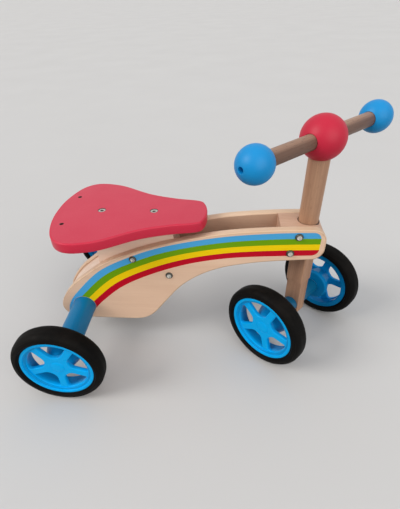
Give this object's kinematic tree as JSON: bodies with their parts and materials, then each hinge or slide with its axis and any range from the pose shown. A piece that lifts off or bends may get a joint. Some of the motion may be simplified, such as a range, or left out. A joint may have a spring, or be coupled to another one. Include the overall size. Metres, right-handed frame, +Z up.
{
  "type": "ride-on toy",
  "caption": "Wooden ride-on toy with curved striped side panels, a flared red seat, spoked blue wheels with black tyres and a steered front axle with a ball handlebar.",
  "frame": {"origin": "on the floor under the middle of the toy's bounding box as it stands in the picture", "axes": "+X forward, +Y to the rider's left, +Z up; the tyres stand on z = 0"},
  "size_m": [0.5116, 0.3244, 0.3555],
  "materials": {
    "plywood": "clear satin lacquer over plywood, printed curved stripes on the outer faces",
    "beech": "clear satin lacquer over solid beech",
    "seat_red": "satin paint over plywood",
    "ball_red": "gloss paint over turned wood",
    "toy_blue": "gloss paint over turned wood",
    "wheel_blue": "moulded gloss plastic",
    "tyre": "soft matt rubber",
    "steel": "zinc plated",
    "nylon": "plain moulded"
  },
  "bodies": {
    "frame": {"right_side_panel": "plywood", "left_side_panel": "plywood", "rear_block": "beech", "seat_block": "beech", "head_block": "beech", "seat": "seat_red", "seat_screws": "steel", "front_panel_screws": "steel", "middle_panel_screws": "steel", "steering_bushes": "nylon", "stop_screw": "steel", "rear_beam": "toy_blue", "rear_axle": "steel", "rear_washers": "steel", "rear_lock_nuts": "steel"},
    "steering": {"steering_post": "beech", "fork_block": "beech", "fork_pin": "steel", "thrust_washer": "nylon", "handlebar": "beech", "bar_dowel": "beech", "centre_ball": "ball_red", "right_grip_ball": "toy_blue", "left_grip_ball": "toy_blue", "grip_screws": "steel", "front_axle": "steel", "front_spacers": "toy_blue", "front_washers": "steel", "front_lock_nuts": "steel"},
    "rear_right_wheel_set": {"rear_right_wheel": "wheel_blue", "rear_right_tyre": "tyre", "rear_right_hub_cap": "wheel_blue"},
    "rear_left_wheel_set": {"rear_left_wheel": "wheel_blue", "rear_left_tyre": "tyre", "rear_left_hub_cap": "wheel_blue"},
    "front_right_wheel_set": {"front_right_wheel": "wheel_blue", "front_right_tyre": "tyre", "front_right_hub_cap": "wheel_blue"},
    "front_left_wheel_set": {"front_left_wheel": "wheel_blue", "front_left_tyre": "tyre", "front_left_hub_cap": "wheel_blue"}
  },
  "joints": [
    {"name": "steer", "type": "hinge", "parent": "frame", "child": "steering", "pos_m": [0.14815, 0, 0.19], "axis": [0, 0, 1], "range_deg": [-4.3, 85.7]},
    {"name": "rear_right_spin", "type": "hinge", "parent": "frame", "child": "rear_right_wheel_set", "pos_m": [-0.19085, -0.148, 0.065], "axis": [0, 1, 0], "continuous": true},
    {"name": "rear_left_spin", "type": "hinge", "parent": "frame", "child": "rear_left_wheel_set", "pos_m": [-0.19085, 0.148, 0.065], "axis": [0, 1, 0], "continuous": true},
    {"name": "front_right_spin", "type": "hinge", "parent": "steering", "child": "front_right_wheel_set", "pos_m": [0.09729, -0.05913, 0.065], "axis": [0.6521, 0.7581, 0], "continuous": true},
    {"name": "front_left_spin", "type": "hinge", "parent": "steering", "child": "front_left_wheel_set", "pos_m": [0.19901, 0.05913, 0.065], "axis": [0.6521, 0.7581, 0], "continuous": true}
  ]
}
